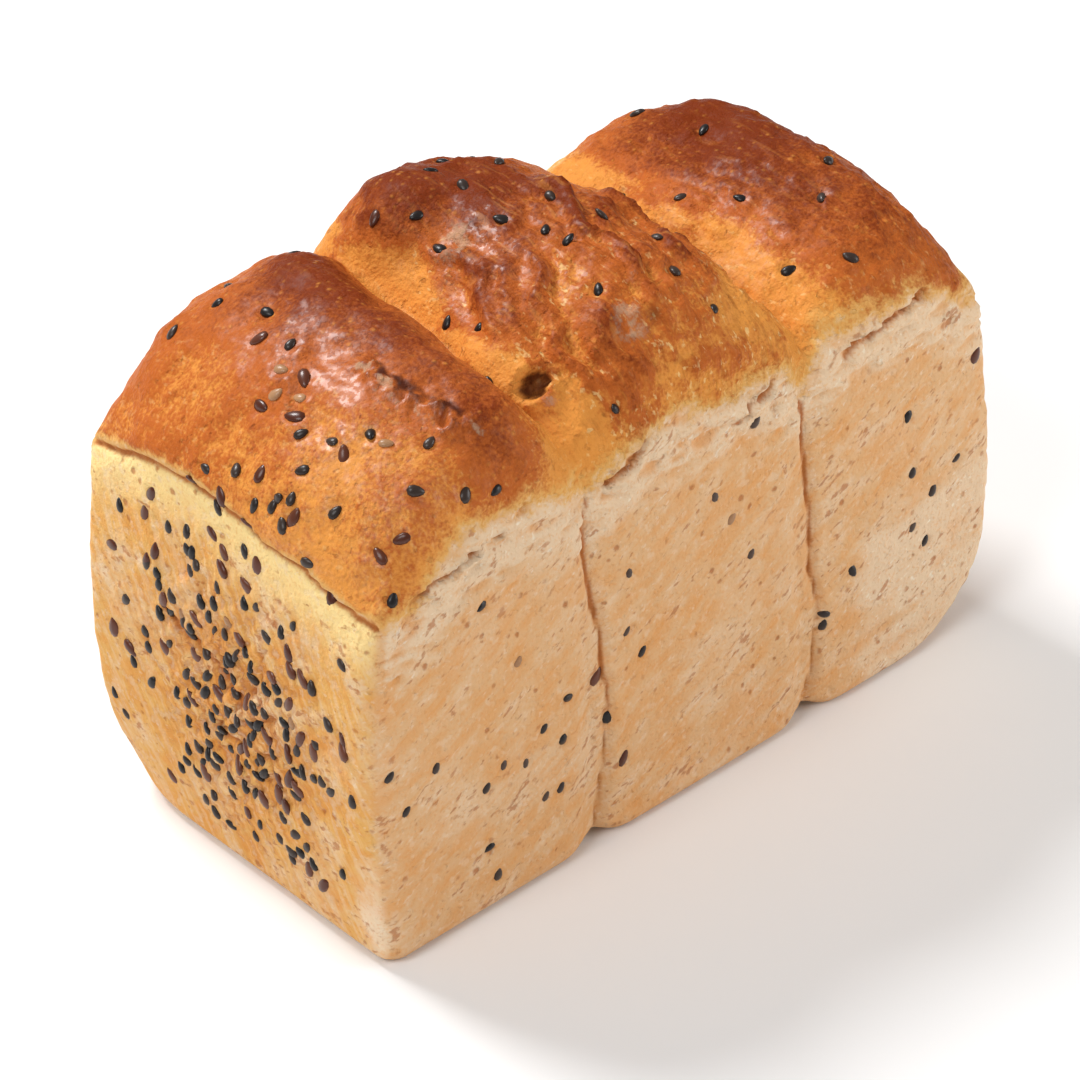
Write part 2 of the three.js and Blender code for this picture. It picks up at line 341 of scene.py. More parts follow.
class Loaf:
    """The loaf's smooth shape in millimetres, as the tin and the oven spring left it."""

    def __init__(self, sizes):
        for name in LoafSizes.__annotations__:
            if not name.startswith("cells_"):
                setattr(self, name, getattr(sizes, name) / MM)
        self.core = (self.long - self.wide) / 2
        self.core_low = self.tin_line / 2
        self.core_high = self.tin_line - CORE_DROP

    def crown_rise(self, crown, x):
        start, end = crown["ends"]
        top = (start + end) / 2 + crown["lean"]
        before = (top - start) * crown["overlap"][0]
        after = (end - top) * crown["overlap"][1]
        return crown["height"] * dome((x - top) / np.where(x < top, before, after), ALONG_DOME)

    def crown_height(self, x, y):
        bow = np.ones_like(x)
        for at, reach, place in zip(BOWED_VALLEY["at"], BOWED_VALLEY["reach"], (x, y)):
            bow = bow * bell(place - at, reach)
        bowed = x + BOWED_VALLEY["shift"] * bow
        ridge = self.crown_rise(CROWNS[0], bowed)
        for crown in CROWNS[1:]:
            ridge = smooth_max(ridge, self.crown_rise(crown, bowed), VALLEY_BLEND)
        out = np.hypot(x - SHOULDER["at"][0], y - SHOULDER["at"][1])
        ridge = ridge + SHOULDER["height"] * bell(out, SHOULDER["reach"])
        corner = np.hypot(np.abs(x) - self.long / 2, np.abs(y) - self.wide / 2)
        dip = CORNER_DIP["depth"] * bell(corner, CORNER_DIP["reach"])
        return ridge * dome(y / (self.wide / 2), ACROSS_DOME) - dip

    def outside(self, p):
        """Below 0 inside the loaf, above 0 outside."""
        z = p[:, 2]
        up = np.clip(z / self.tin_line, 0, 1)
        x = p[:, 0] / (1 + 2 * self.foot_spread / self.long * (1 - up))
        y = p[:, 1] / (1 - 2 * self.foot_shrink / self.wide * (1 - up))
        swell = np.sin(np.pi * up)
        flare = np.maximum(1 - z / SEAM_FLARE, 0) ** 2
        seam = sum(bell(x - at, SEAM_SPREAD) for at in SEAMS)
        seam = seam * (self.seam_depth + (self.seam_foot - self.seam_depth) * flare)
        past_end = np.abs(x) - (self.long / 2 + self.end_bulge * swell)
        past_side = np.abs(y) - (self.wide / 2 + self.side_bulge * swell - seam)
        wall = round_corner(past_end, past_side, self.upright_round)
        body = round_corner(wall, seam * SEAM_NOTCH - z, self.base_round)
        for side, back, depth in SLACK_CORNERS:
            past = side * x - self.long / 2 + back * y - self.wide / 2 - z
            body = smooth_max(body, past / math.sqrt(3) + depth, SLACK_BLEND)
        return np.maximum(body, z - (self.tin_line + self.crown_height(p[:, 0], p[:, 1])))

    def on_rays(self, start, direction, far=150.0, halvings=26):
        """The crust's points on rays that start inside the loaf."""
        low = np.zeros(len(start))
        high = np.full(len(start), far)
        for _ in range(halvings):
            middle = (low + high) / 2
            out = self.outside(start + direction * middle[:, None]) > 0
            high = np.where(out, middle, high)
            low = np.where(out, low, middle)
        return start + direction * low[:, None]

    def from_core(self, points):
        """The crust's point on the ray from the loaf's core through each point."""
        core = np.stack([
            np.clip(points[:, 0], -self.core, self.core),
            np.zeros(len(points)),
            np.clip(points[:, 2], self.core_low, self.core_high),
        ], axis=1)
        direction = points - core
        return self.on_rays(core, direction / np.linalg.norm(direction, axis=1)[:, None])

    def near_end(self, x):
        """1 at the seeded end, falling to 0 a little way in."""
        return 1 - step(0, BROWNING["end_reach"], self.long / 2 + x)

    def brown_line(self, x, y):
        """Height at which the browned crown starts: on the seeded end, at the fold."""
        to_end = self.long / 2 - np.abs(x)
        line = self.tin_line + BROWNING["above"]
        line = line - BROWNING["end_drop"] * (1 - step(0, BROWNING["end_reach"], to_end))
        line = line - BROWNING["seam_drop"] * sum(bell(x - at, BROWNING["seam_reach"]) for at in SEAMS)
        fold = np.interp(y, *zip(*END_FOLD))
        return line + (fold - line) * self.near_end(x)


def box_lattice(cells):
    """Corner numbers and four-sided faces of a box's skin, pointing out."""
    faces = []
    for axis in range(3):
        u, v = (axis + 1) % 3, (axis + 2) % 3
        a, b = np.meshgrid(np.arange(cells[u]), np.arange(cells[v]), indexing="ij")
        for side in (0, cells[axis]):
            loop = ((0, 0), (1, 0), (1, 1), (0, 1))
            quad = np.zeros((a.size, 4, 3), int)
            for i, (du, dv) in enumerate(loop if side else loop[::-1]):
                quad[:, i, axis] = side
                quad[:, i, u] = a.ravel() + du
                quad[:, i, v] = b.ravel() + dv
            faces.append(quad)
    corners = np.concatenate(faces).reshape(-1, 3)
    lattice, number = np.unique(corners, axis=0, return_inverse=True)
    return lattice, number.reshape(-1, 4)


def vertex_normals(points, quads):
    across = points[quads[:, 2]] - points[quads[:, 0]]
    up = points[quads[:, 3]] - points[quads[:, 1]]
    face = np.cross(across, up)
    normals = np.zeros_like(points)
    for i in range(4):
        np.add.at(normals, quads[:, i], face)
    return normals / np.linalg.norm(normals, axis=1)[:, None]


def build_mesh(name, points, faces, attributes=()):
    """A mesh from millimetre points, with one number per corner for each named attribute."""
    mesh = bpy.data.meshes.new(name)
    mesh.from_pydata((points * MM).tolist(), [], faces.tolist())
    for key, values in dict(attributes).items():
        kind = "FLOAT_VECTOR" if np.ndim(values) == 2 else "FLOAT"
        layer = mesh.attributes.new(key, kind, "POINT")
        field = "vector" if kind == "FLOAT_VECTOR" else "value"
        layer.data.foreach_set(field, np.asarray(values, np.float32).ravel())
    return mesh


def link(name, data):
    """A new object in the scene, made of a mesh, a light or a camera."""
    thing = bpy.data.objects.new(name, data)
    bpy.context.scene.collection.objects.link(thing)
    return thing


# ---------------------------------------------------------------- relief of the crust


class Relief:
    """Adds up heights and stains over the crust, one feature at a time."""

    def __init__(self, loaf, points, normals, settings):
        self.loaf = loaf
        self.points = points
        self.normals = normals
        self.sizes = {key: getattr(settings, key) / MM for key in CrustRelief.__annotations__}
        self.noise = DoughNoise(DRAWS["dough"])
        self.height = np.zeros(len(points))
        self.stains = {key: np.zeros(len(points)) for key in ("scorch_and_shade", "crease", "torn", "flake")}
        x, y, z = points.T
        self.line = loaf.brown_line(x, y)
        self.sideways = np.abs(normals[:, 1])
        self.end = step(0.5, 0.9, -normals[:, 0])
        sharp = loaf.near_end(x) * self.end
        ragged = (3.0 - 2.6 * sharp) * self.noise.hills(points, (12, 12, 9), 4)
        self.crown = step(-8 + 7 * sharp, 9 - 5 * sharp, z - self.line + ragged)
        self.soft_crown = step(-6, 12, z - self.line)
        self.crowd = spot(y, z, END_CROWD["at"], END_CROWD["stain"]) * self.end
        self.foot = step(0.5, 6, z)
        self.drawn = 0.2 + 0.8 * step(-33, -22, x) * (1 - 0.65 * step(24, 36, x)) * (1 - step(0, 26, y))

    def clouds(self, scale, offset):
        """One octave of noise over the crust, in lumps of a size in millimetres."""
        return self.noise(self.points, scale, offset)

    def hills(self, scale, octaves, offset=0.0):
        """Noise over the crust with finer octaves laid on top."""
        return self.noise.hills(self.points, scale, octaves, offset)

    def stain(self, key, amount):
        """Darkens a stain to an amount wherever it is still below it."""
        self.stains[key] = np.maximum(self.stains[key], amount)

    def lumps(self):
        """Soft lumps on the crowns, waves on the sides, slanting drags and a fine grain."""
        self.height += self.sizes["lumps"] * self.soft_crown * self.hills(20, 3)
        pulled = self.hills((5.5, 15, 11), 3, 3.0)
        self.height += self.sizes["lumps"] * 0.45 * self.drawn * self.soft_crown * pulled
        waves = self.hills((26, 26, 20), 3, 5.0)
        self.height += self.sizes["side_waves"] * (1 - self.soft_crown) * waves
        x, y, z = self.points.T
        slanted = np.stack([x * 0.87 + z * 0.5, y, z * 0.87 - x * 0.5], axis=1)
        drags = self.noise.hills(slanted, (10, 8, 4), 3, 6.0) * (1 - self.crown)
        sides = step(0.4, 0.8, self.sideways) * (1 - self.soft_crown)
        self.height += 0.75 * self.sizes["side_waves"] * sides * drags
        self.height += self.sizes["crumb"] * self.hills(3.4, 2, 2.0)

    def wrinkles(self):
        """Skin drawn into wrinkles that run over the crowns from front to back."""
        drift = 3.4 * self.hills(18, 2, 8)
        warped = self.points + drift[:, None] * (1, 0, 0)
        amount = self.drawn * self.soft_crown
        creases = self.noise.ridges(warped, (3.8, 17, 12), 1.0) ** 2 - 0.3
        patches = step(-0.35, 0.25, self.clouds(18, 14))
        self.height += self.sizes["wrinkles"] * 0.6 * amount * patches * creases
        small = self.noise.ridges(warped, (2.7, 8, 6.5), 6.0) - 0.5
        beads = self.noise.hills(warped, (3.2, 4.2, 4.2), 2, 15.0)
        self.height += self.sizes["wrinkles"] * amount * (0.34 * small + 0.30 * beads)
        for ridge in CROWN_RIDGES:
            wander = warped[:, :2] + 1.4 * self.clouds(6, 21)[:, None]
            distance, along = to_line(wander, ridge)
            fade = fade_ends(along, 0.15) * self.soft_crown * (1 - 0.8 * step(0, 14, self.points[:, 1]))
            self.height += self.sizes["wrinkles"] * fade * bell(distance, 1.5)
            self.height -= 0.5 * self.sizes["wrinkles"] * fade * bell(distance - 2.6, 1.3)

    def tears(self):
        """Ragged tears and stretched dough on the long sides, just below the crowns."""
        x, _, z = self.points.T
        band = bell(z - (self.line - 7), 9.5) * step(0.3, 0.75, self.sideways)
        band = band * (1 - 0.8 * step(0.2, 0.5, -self.normals[:, 0]))
        strands = self.noise.ridges(self.points + 0.2 * z[:, None], (11, 9, 3.2), 4.0)
        rough = self.hills((6, 5, 3.4), 2, 44.0)
        self.height += self.sizes["tears"] * band * (0.45 * (strands - 0.5) + 0.55 * rough)
        self.stain("torn", band * (0.45 + 0.55 * strands))
        # Paler low on the front towards the far end
        pale_low_front = step(38, 58, x) * (1 - step(34, 58, z)) * step(0.6, 0.9, -self.normals[:, 1])
        cloudy = 0.75 + 0.6 * self.hills((16, 9, 9), 3, 46.0)
        self.stain("torn", pale_low_front * np.clip(cloudy, 0, 1))
        jitter = 2.4 * self.hills(7, 3, 9.0)
        place = np.stack([x, z + jitter], axis=1)
        for tear in FRONT_TEARS:
            distance, along = to_line(place, tear)
            fade = fade_ends(along, 0.2) * step(0.5, 0.8, -self.normals[:, 1])
            fade = fade * step(-0.9, 0.0, self.clouds((6, 9, 9), 19.0))
            self.height -= 0.9 * self.sizes["tears"] * fade * bell(distance, 0.8)
            self.height += 0.5 * self.sizes["tears"] * fade * bell(distance - 2.2, 1.4)
            self.stain("crease", fade * bell(distance, 0.8))

    def seams(self):
        """The dark crease down each seam, on both long sides."""
        x, _, z = self.points.T
        on_side = step(0.5, 0.85, self.sideways)
        for path in SEAM_CREASES:
            heights, places = zip(*path)
            at = np.interp(z, heights, places) + 0.8 * self.clouds(9, 31)
            fade = on_side * (1 - step(heights[-1] - 4, heights[-1] + 4, z))
            cut = bell(np.abs(x - at) + 6 * (1 - fade), 0.65)
            self.height -= 0.6 * self.sizes["creases"] * cut
            broken = step(-1.1, -0.2, self.clouds(8, 33)) * (0.5 + 0.5 * step(20, 52, z))
            self.stain("crease", cut * broken)
            self.height += 0.35 * self.sizes["creases"] * fade * bell(np.abs(x - at) - 2.4, 1.4)

    def fold(self):
        """The lip of crown dough that lapped over each end, and the crease below it."""
        _, y, z = self.points.T
        above = z - (np.interp(y, *zip(*END_FOLD)) + self.hills(10, 2, 40.0))
        at_end = step(0.35, 0.75, np.abs(self.normals[:, 0]))
        strength = (0.7 + 0.5 * self.clouds(14, 17)) * at_end
        cut = bell(np.abs(above + 0.4) + 6 * (1 - at_end), 0.8)
        self.height -= self.sizes["creases"] * cut
        self.stain("crease", cut)
        self.stains["below_fold"] = self.end * step(-17, -1.5, above) * (1 - step(-1.2, -0.2, above))
        lip = step(-0.3, 0.9, above) * (1 - step(2, 10, above))
        self.height += self.sizes["lip"] * strength * lip

    def burst_blister(self):
        """The split ridge of dry, scorched skin on the near crown, with painted shadow in a cut on its
        side away from the light and painted glints on its lit side.
        """
        x, y, _ = self.points.T
        top = step(0.2, 0.6, self.normals[:, 2])
        shake = np.stack([self.clouds(3.8, 51), self.clouds(4.6, 52)], axis=1)
        wander = self.points[:, :2] + 2.4 * shake
        distance, along = to_line(wander, BURST_RIDGE)
        crumbs = self.hills(2.4, 2, 13.0)
        skin = bell(distance, 2.7) * top
        self.height += skin * (0.9 + 1.5 * crumbs)
        # A cut on the ridge's side away from the light
        behind, _ = to_line(wander - (2.0, 0.3), BURST_RIDGE)
        cut = bell(behind, 1.5) * top * step(-0.5, 0.1, self.clouds(3.4, 53))
        self.height -= 1.1 * cut
        knob = bell(np.linalg.norm(wander - BURST_KNOB, axis=1), 2.0) * top
        self.height += (0.7 + 0.8 * crumbs) * knob
        # The cut is painted dark, a painted shadow; the skin along the ridge is scorched
        self.stain("scorch_and_shade", 0.62 * cut + 0.42 * skin * step(-0.2, 0.5, crumbs))
        self.stain("scorch_and_shade", 0.40 * knob)
        # Pale flakes on the ridge's lit side: dry skin, painted with glints
        dry, _ = to_line(wander + (1.0, -0.2), BURST_RIDGE)
        flakes = step(-0.05, 0.4, self.hills((2.6, 2.2, 2.6), 2, 91.0))
        patch = np.maximum(bell(dry, 2.3) * (1 - 0.5 * along), 0.7 * knob)
        self.stain("flake", 0.85 * patch * flakes * top)
        right, back = x - LONE_BLISTER[0], y - LONE_BLISTER[1]
        out = np.hypot(right, back)
        self.height += 0.7 * bell(out - 3.2, 1.2) * top * step(-1, 2, -right)
        self.stain("scorch_and_shade", 0.25 * bell(out, 3) * top)

    def hole(self):
        """A burst bubble in the near valley, painted dark inside with scorch and painted shade, with a
        pale flap below it.
        """
        at = self.loaf.on_rays(np.array([HOLE_BELOW]), np.array([[0, 0, 1.0]]))[0]
        offset = self.points - at
        out = np.linalg.norm(offset / (1.15, 0.9, 1), axis=1)
        out = out + 1.3 * self.hills(2.8, 2, 61)
        self.height -= self.sizes["hole"] * (1 - step(1.9, 3.6, out))
        self.height += 0.6 * bell(out - 4.0, 0.9)
        # The inside of the hole is painted dark: scorch and painted shade
        self.stain("scorch_and_shade", 0.66 * (1 - step(2.7, 3.4, out)))
        flap = bell(np.linalg.norm(offset - (0.3, -4.0, -2.3), axis=1), 1.7)
        self.height += 0.6 * flap
        self.stain("flake", 0.6 * flap)

    def bubbles(self):
        """Shallow bubbles under the skin: most fell in, and the skin over them dried pale."""
        x, y, _ = self.points.T
        top = step(-0.1, 0.2, self.normals[:, 2])
        wander = 1.5 * self.clouds(5, 70)
        spread = step(-1.1, 0.2, self.hills(3.0, 2, 33.0))
        for at, reach, depth, strength in BUBBLES:
            right, back = x - at[0], y - at[1]
            self.height -= depth * bell(np.hypot(right, back) + wander, reach) * top
            pale = bell(np.hypot(right + 2, back - 1) + wander, 0.6 * reach) * top
            self.stain("flake", 0.9 * pale * spread * strength)
            dark = bell(np.hypot(right - 2.6, back) + wander, 0.45 * reach) * top
            self.stain("scorch_and_shade", 0.45 * dark * strength)

    def small_blisters(self):
        """Beads of skin lifted by steam, fewest on the near crown."""
        draw = np.random.default_rng(DRAWS["blisters"])
        for crown, count in zip(CROWNS, BLISTERS_PER_CROWN):
            x = draw.uniform(crown["ends"][0] + 4, crown["ends"][1] - 4, count)
            y = draw.uniform(-0.44, 0.44, count) * self.loaf.wide
            start = np.stack([x, y, np.full(count, self.loaf.core_high)], axis=1)
            places = self.loaf.on_rays(start, np.broadcast_to((0.0, 0.0, 1.0), (count, 3)))
            reaches = draw.uniform(0.7, 1.7, count)
            heights = draw.uniform(0.3, 1.0, count) * self.sizes["blisters"]
            for place, reach, height in zip(places, reaches, heights):
                near = np.abs(self.points - place).max(axis=1) < 3 * reach
                out = np.linalg.norm(self.points[near] - place, axis=1)
                self.height[near] += height * bell(out, reach)

    def seed_pits(self):
        """Pits and slanting strands among the seeds on the end, the pits painted dark as painted shade,
        and a dark crack.
        """
        slanted = self.points + 0.9 * self.points[:, 2:] * (0, 1, 0)
        strands = self.noise.ridges(slanted, (9, 3.6, 22), 23.0)
        self.height += 1.1 * self.crowd * (strands - 0.45)
        pits = self.noise.ridges(self.points, (7, 6, 8), 29.0) ** 6
        self.height -= self.sizes["pits"] * self.crowd * pits
        # The pits are painted dark with the crease stain: painted shade
        self.stain("crease", 0.8 * self.crowd * pits)
        wander = self.points[:, 1:] + 1.6 * self.clouds(4, 95)[:, None]
        distance, _ = to_line(wander, END_CRACK)
        crack = bell(distance, 1.1) * self.end
        self.height -= 1.1 * crack
        self.stain("crease", crack)
        self.stain("scorch_and_shade", 0.6 * crack * step(-0.3, 0.2, self.clouds(5, 96)))

    def press(self, places):
        """A dimple under each seed, and on the front a drag mark below it."""
        crease = self.stains["crease"]
        for place in places:
            near = np.flatnonzero(np.abs(self.points - place).max(axis=1) < 7)
            offset = self.points[near] - place
            out = np.linalg.norm(offset, axis=1)
            self.height[near] += 0.22 * bell(out - 2.9, 0.9) - self.sizes["dimples"] * bell(out, 1.7)
            if place[1] > 0.46 * -self.loaf.wide or place[2] > self.loaf.tin_line:
                continue
            tail, along = to_line(offset[:, ::2], ((0, 0), (-3.6, -2.4)))
            cut = bell(tail, 0.7) * (1 - along)
            self.height[near] -= 0.35 * cut
            crease[near] = np.maximum(crease[near], 0.7 * cut)

    def shine(self):
        """How glossy each spot is: the crowns shine where the skin was drawn tightest."""
        x, y, _ = self.points.T
        glossy = sum(strength * spot(x, y, at, reach) for at, reach, strength in GLOSSY_SPOTS)
        return np.clip(glossy * (0.75 + 0.6 * self.hills(9, 2, 60.0)), 0, 1)

    def pale_corner(self):
        """Where the end stayed pale, at the foot of its front edge."""
        _, y, z = self.points.T
        ragged = 5 * self.hills((9, 9, 14), 3, 66.0)
        return self.end * step(-36, -46, y + ragged) * (1 - step(12, 36, z + ragged))

    def bake(self):
        """How brown each spot is, from 0 on the tin sides to 1 on the tops."""
        x, y, z = self.points.T
        near, middle, far = (crown["height"] for crown in CROWNS)
        peak = np.interp(x, (-31, -26, 29, 35), (near, middle, middle, far))
        level = np.clip((z - self.line) / (peak - 9), 0, 1.2)
        blotches = self.hills(24, 3, 80.0)
        high = step(0.70, 1.02, level) * (0.15 + 0.85 * step(-12, 30, y))
        amount = 0.20 + 0.44 * level + 0.40 * high + 0.18 * blotches
        amount = amount + (0.05 + 0.16 * self.drawn) * np.clip(self.height, -1.5, 1.5)
        uneven = 0.8 + 0.7 * self.hills((5, 11, 8), 3, 85.0)
        bright, _ = to_line(self.points[:, :2], BRIGHT_VALLEY)
        width = 3.9 + 3.4 * step(6, 24, y) + 3.5 * step(-32, -42, y)
        amount = amount - uneven * (0.80 * bell(bright, width) + 0.62 * bell(x - 36, 8))
        # Browner along the near crown's ridge, with painted shade on its flank away from the light
        dark, _ = to_line(self.points[:, :2], DARK_AND_SHADED_RIDGE)
        amount = amount + 0.17 * bell(dark, 6)
        for at, reach, strength in BAKED_SPOTS:
            amount = amount + strength * spot(x, y, at, reach)
        return np.clip(amount, 0, 1)

    def finish(self):
        """The stains by name: each from 0 to 1, and the height that the crust was raised by."""
        stains = {key: np.clip(amount, 0, 1) for key, amount in self.stains.items()}
        stains["torn"] = stains["torn"] * (1 - self.crown)
        return stains | {
            "bake": self.bake(),
            "crown": self.crown,
            "seeded_end": self.end * (1 - self.crown),
            "raised": np.clip(self.height, -2, 2),
            "seed_crowd": self.crowd,
            "shine": self.shine(),
            "corner": self.pale_corner(),
            "drawn": self.drawn,
        }


def bake_crust(sizes, relief_settings, seed_places):
    """The loaf's crust as points, faces and stains."""
    loaf = Loaf(sizes)
    cells = (sizes.cells_long, sizes.cells_wide, sizes.cells_high)
    lattice, quads = box_lattice(cells)
    box = lattice / np.asarray(cells) - (0.5, 0.5, 0)
    points = loaf.from_core(box * (loaf.long, loaf.wide, loaf.tin_line + CROWN_ROOM))
    normals = vertex_normals(points, quads)
    relief = Relief(loaf, points, normals, relief_settings)
    for feature in (relief.lumps, relief.wrinkles, relief.tears, relief.seams, relief.fold,
                    relief.burst_blister, relief.hole, relief.bubbles, relief.small_blisters,
                    relief.seed_pits):
        feature()
    relief.press(seed_places)
    baked = points + normals * (relief.height * relief.foot)[:, None]
    baked[:, 2] = np.maximum(baked[:, 2], 0)
    return baked, quads, relief.finish()


# ---------------------------------------------------------------- places of the seeds

# Seeds besides the part's own, as (x, y) on the crowns, (y, z) on the seeded end and the tail, and
# (x, z) on the front and the far side. The buried ones are on the front, dusted with dough.
LOOSE_SEEDS = {
    "black_sesame": {
        "crown": ((-78, -18), (-79, -29), (-68, -41), (-59, -45), (-52, -46), (-19, -45), (13, -40),
                  (39, 17), (-40, 30), (-35, -25), (27, 30), (60, 34), (-68, 36), (14, 36)),
        "end": ((-15, 99), (-19, 102), (-19, 97), (2, 91), (-46, 90), (12, 81), (10, 77), (-7, 85),
                (27, 49), (32, 39)),
        "front": ((-26, 33), (-44, 40), (-81, 39), (-73, 46), (-60, 33), (-40, 22), (-58, 9),
                  (37, 24), (63, 52), (77, 49), (70, 44), (68, 31), (-16, 45)),
        "far": ((-60, 60), (-22, 35), (5, 72), (48, 24), (66, 66), (20, 15)),
        "tail": ((-20, 70), (12, 40), (30, 82)),
        "buried": ((-55, 37), (-49, 34), (-44, 22), (17, 87), (5, 74), (15, 54), (-19, 67), (-20, 52),
                   (64, 37)),
    },
    "linseed": {
        "crown": ((-72, -9), (-74, -43), (-78, -41), (37, -4), (-72, -24)),
        "end": ((-9, 103), (-8, 92), (10, 94), (0, 95), (-21, 99), (-33, 87), (26, 79), (25, 68),
                (-11, 84)),
        "front": ((-28, 44), (-22, 20), (83, 73)),
        "far": ((-40, 50), (30, 44)),
        "tail": ((-5, 55),),
    },
    "white_sesame": {
        "crown": ((-67, 1), (-71, -2), (-69, -7), (-66, -30)),
        "end": ((-2, 66), (14, 60), (-22, 52)),
        "front": ((-50, 60), (10, 66)),
        "far": (),
        "tail": (),
    },
}
# Kinds of seed, as name, which size they follow, how much they taper, skin and sheen
SEED_KINDS = (
    ("black_sesame", "sesame", 0.55, "black", 0.08),
    ("linseed", "linseed", 0.45, "brown", 0.25),
    ("white_sesame", "sesame", 0.55, "pale", 0.1),
)
# Each face's outward way, how far out a ray towards it starts that is still inside the loaf, and
# the point that lies that far out
FACES = {
    "crown": ((0, 0, 1), 71, lambda u, v, far: (u, v, far)),
    "end": ((-1, 0, 0), 30, lambda u, v, far: (-far, u, v)),
    "tail": ((1, 0, 0), 30, lambda u, v, far: (far, u, v)),
    "front": ((0, -1, 0), 30, lambda u, v, far: (u, -far, v)),
    "buried": ((0, -1, 0), 30, lambda u, v, far: (u, -far, v)),
    "far": ((0, 1, 0), 30, lambda u, v, far: (u, far, v)),
}
# How far out a ray that looks for the crust starts
FAR_OUT = 300
# How unevenly seeds lie, the least and the most they grew, and how deep they sink, as a share of
# their thickness: on the crowns, how much more on a wall, and how much more under dust
SEED_TILT = 0.10
SEED_GROWTH = (0.94, 1.18)
SEED_SINK = (0.38, 0.14, 0.18)
# The share of the crowd's seeds that are dusty, and how dusty they are
DUSTY_SHARE = 0.28
DUST = 0.5


def loose_places(loaf):
    """Roughly where each loose seed lies, on the loaf's smooth shape."""
    starts = []
    ways = []
    for faces in LOOSE_SEEDS.values():
        for face, places in faces.items():
            way, inside, point = FACES[face]
            starts += [point(u, v, inside) for u, v in places]
            ways += [way] * len(places)
    return loaf.on_rays(np.array(starts, float), np.array(ways, float))


class Crust:
    """The baked crust as something to lay seeds on."""

    def __init__(self, piece):
        mesh = piece.data
        points = np.zeros(len(mesh.vertices) * 3, np.float32)
        mesh.vertices.foreach_get("co", points)
        faces = [tuple(face.vertices) for face in mesh.polygons]
        self.tree = BVHTree.FromPolygons([Vector(p) for p in points.reshape(-1, 3) / MM], faces)

    def on_face(self, face, u, v):
        """The crust's point and facing at a place on one of its faces, looked at from outside."""
        way, _, point = FACES[face]
        place, facing, _, _ = self.tree.ray_cast(Vector(point(u, v, FAR_OUT)), -Vector(way))
        if place is None:
            raise RuntimeError(f"no crust was found on the {face} at {(u, v)}")
        return np.array(place), np.array(facing)

    def nearest(self, point):
        place, facing, _, _ = self.tree.find_nearest(Vector(point))
        return np.array(place), np.array(facing)


def lengthwise(points):
    """The direction a seed points in, towards its narrow end."""
    middle = points.mean(axis=0)
    axis = np.linalg.svd(points - middle, full_matrices=False)[2][0]
    along = (points - middle) @ axis
    across = np.linalg.norm((points - middle) - along[:, None] * axis, axis=1)
    return axis if across[along > 0].sum() < across[along < 0].sum() else -axis


def nodes_of(kind):
    """The names of the part's own seeds of one kind."""
    return [name for name in sorted(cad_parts) if name.startswith(kind + "_")]


def part_seeds(kind, crust):
    """The part's own seeds of one kind, each as (place, facing, heading, dust)."""
    seeds = []
    for name in nodes_of(kind):
        points = np.array([v.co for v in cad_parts[name].data.vertices], float) / MM
        place, facing = crust.nearest(points.mean(axis=0))
        seeds.append((place, facing, lengthwise(points), 0.0))
    return seeds


def loose_seeds(kind, crust, draw):
    """The other seeds of one kind: any way round on the crowns, and mostly upright elsewhere."""
    seeds = []
    for face, places in LOOSE_SEEDS[kind].items():
        for u, v in places:
            place, facing = crust.on_face(face, u, v)
            turn = draw.uniform(-1, 1, 3)
            heading = turn if face == "crown" else turn * (0.4, 0.5, 0.2) + (0.45, 0.2, 1)
            seeds.append((place, facing, heading, 1.0 if face == "buried" else 0.0))
    return seeds


def end_crowd(crust, tries, draw):
    """The crowd of seeds on the end, each as (place, facing, heading, dust), mostly upright."""
    seeds = []
    taken = []
    low, high = END_CROWD["high"]
    for _ in range(tries):
        u, v = draw.normal(END_CROWD["at"], END_CROWD["spread"])
        if abs(u) > END_CROWD["wide"] or not low < v < high:
            continue
        if any(math.dist((u, v), other) < END_CROWD["room"] for other in taken):
            continue
        taken.append((u, v))
        place, facing = crust.on_face("end", u, v)
        heading = draw.normal(0, (0.2, 0.55, 0.35)) + (0, 0.3, 1)
        seeds.append((place, facing, heading, DUST * (draw.uniform() < DUSTY_SHARE)))
    return seeds


# ---------------------------------------------------------------- node trees


class Wire:
    """A value in a node tree. Arithmetic on it adds the nodes that work it out."""

    def __init__(self, nodes, socket):
        self.nodes = nodes
        self.socket = socket

    def math(self, operation, *values):
        return self.nodes.add("ShaderNodeMath", {"operation": operation}, dict(enumerate(values)), 0)

    def __add__(self, other):
        return self.math("ADD", self, other)

    def __sub__(self, other):
        return self.math("SUBTRACT", self, other)

    def __rsub__(self, other):
        return self.math("SUBTRACT", other, self)

    def __mul__(self, other):
        return self.math("MULTIPLY", self, other)

    __radd__ = __add__
    __rmul__ = __mul__

    def step(self, low, high):
        """0 up to low, 1 from high, and a soft slope between them."""
        settings = {"interpolation_type": "SMOOTHSTEP"}
        values = {"Value": self, "From Min": low, "From Max": high}
        return self.nodes.add("ShaderNodeMapRange", settings, values, "Result")

    def swing(self, amount):
        """A pattern from 0 to 1 as a swing either side of 0."""
        return (self - 0.5) * amount


